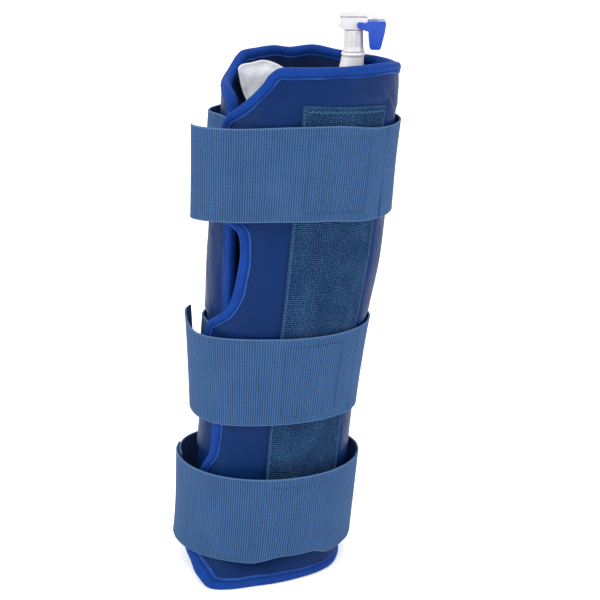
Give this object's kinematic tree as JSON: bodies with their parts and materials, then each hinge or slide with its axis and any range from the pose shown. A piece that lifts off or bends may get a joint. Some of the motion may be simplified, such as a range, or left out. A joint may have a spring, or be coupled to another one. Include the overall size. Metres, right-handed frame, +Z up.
{
  "type": "cold compression wrap",
  "caption": "Padded sleeve with a water bladder, rolled into an upright tube and closed by webbing straps, with a lever valve on a spout at the top edge.",
  "frame": {"origin": "on the floor, at the middle of the sleeve's back rim (the standing_rim mount)", "axes": "+Z up the sleeve, +X towards the fold and the valve, -Y the front with the landing strip"},
  "size_m": [0.1921, 0.1468, 0.4636],
  "materials": {
    "nylon_navy": "plain-woven coated nylon, slight sheen",
    "liner": "brushed knit lining",
    "foam": "closed-cell foam",
    "bladder_film": "soft welded film",
    "binding_blue": "ribbed binding tape",
    "webbing": "fine ribbed elastic webbing",
    "loop_tape": "looped pile tape",
    "hook_tape": "moulded hook tape",
    "thread": "polyester thread",
    "white_plastic": "moulded, satin gloss",
    "blue_plastic": "moulded, gloss",
    "steel": "plain",
    "seal_rubber": "matt"
  },
  "bodies": {
    "root": {"back_outer_shell": "nylon_navy", "back_foam_pad": "foam", "back_bladder": "bladder_film", "bladder_lobe": "bladder_film", "back_inner_liner": "liner", "back_edge_binding": "binding_blue", "upper_strap_base": "webbing", "middle_strap_base": "webbing", "lower_strap_base": "webbing", "strap_base_stitching": "thread", "spout_elbow": "white_plastic", "spout_skirt": "white_plastic", "collar_nut": "white_plastic", "valve_body": "white_plastic", "valve_head": "white_plastic", "valve_cap": "white_plastic", "cap_screws": "steel", "trigger_pin": "steel", "valve_spring": "steel", "hose_spigot": "white_plastic"},
    "front_flap": {"front_outer_shell": "nylon_navy", "front_foam_pad": "foam", "front_bladder": "bladder_film", "front_inner_liner": "liner", "front_edge_binding": "binding_blue", "loop_landing_strip": "loop_tape", "landing_strip_stitching": "thread", "upper_strap_bridge": "webbing", "middle_strap_bridge": "webbing", "lower_strap_bridge": "webbing"},
    "upper_strap_end": {"upper_strap": "webbing", "upper_hook_patch": "hook_tape", "upper_strap_stitching": "thread"},
    "middle_strap_end": {"middle_strap": "webbing", "middle_hook_patch": "hook_tape", "middle_strap_stitching": "thread"},
    "lower_strap_end": {"lower_strap": "webbing", "lower_hook_patch": "hook_tape", "lower_strap_stitching": "thread"},
    "trigger": {"trigger_lever": "blue_plastic"},
    "stem": {"valve_stem": "white_plastic", "stem_o_ring": "seal_rubber"}
  },
  "joints": [
    {"name": "flap_open", "type": "hinge", "parent": "root", "child": "front_flap", "pos_m": [0.07075, -0.0544, 0], "axis": [0.1182, 0, 0.993], "range_deg": [0, 110], "stiffness_Nm_per_rad": 0.8},
    {"name": "upper_strap_peel", "type": "hinge", "parent": "front_flap", "child": "upper_strap_end", "pos_m": [0.10207, -0.09217, 0.3445], "axis": [0.0995, 0, 0.995], "range_deg": [0, 110], "stiffness_Nm_per_rad": 0.2},
    {"name": "middle_strap_peel", "type": "hinge", "parent": "front_flap", "child": "middle_strap_end", "pos_m": [0.08096, -0.09017, 0.1735], "axis": [0.0995, 0, 0.995], "range_deg": [0, 110], "stiffness_Nm_per_rad": 0.2},
    {"name": "lower_strap_peel", "type": "hinge", "parent": "front_flap", "child": "lower_strap_end", "pos_m": [0.07256, -0.09255, 0.0575], "axis": [0.0995, 0, 0.995], "range_deg": [0, 110], "stiffness_Nm_per_rad": 0.2},
    {"name": "trigger_press", "type": "hinge", "parent": "root", "child": "trigger", "pos_m": [0.0825, -0.0244, 0.4506], "axis": [0, 1, 0], "range_deg": [0, 10], "stiffness_Nm_per_rad": 0.02},
    {"name": "stem_lift", "type": "slide", "parent": "root", "child": "stem", "axis": [0, 0, 1], "range_m": [0, 0.0006], "deforming": ["valve_spring"]}
  ],
  "couplings": [
    {"joint": "stem_lift", "follows": "trigger_press", "m_per_rad": 0.003}
  ]
}
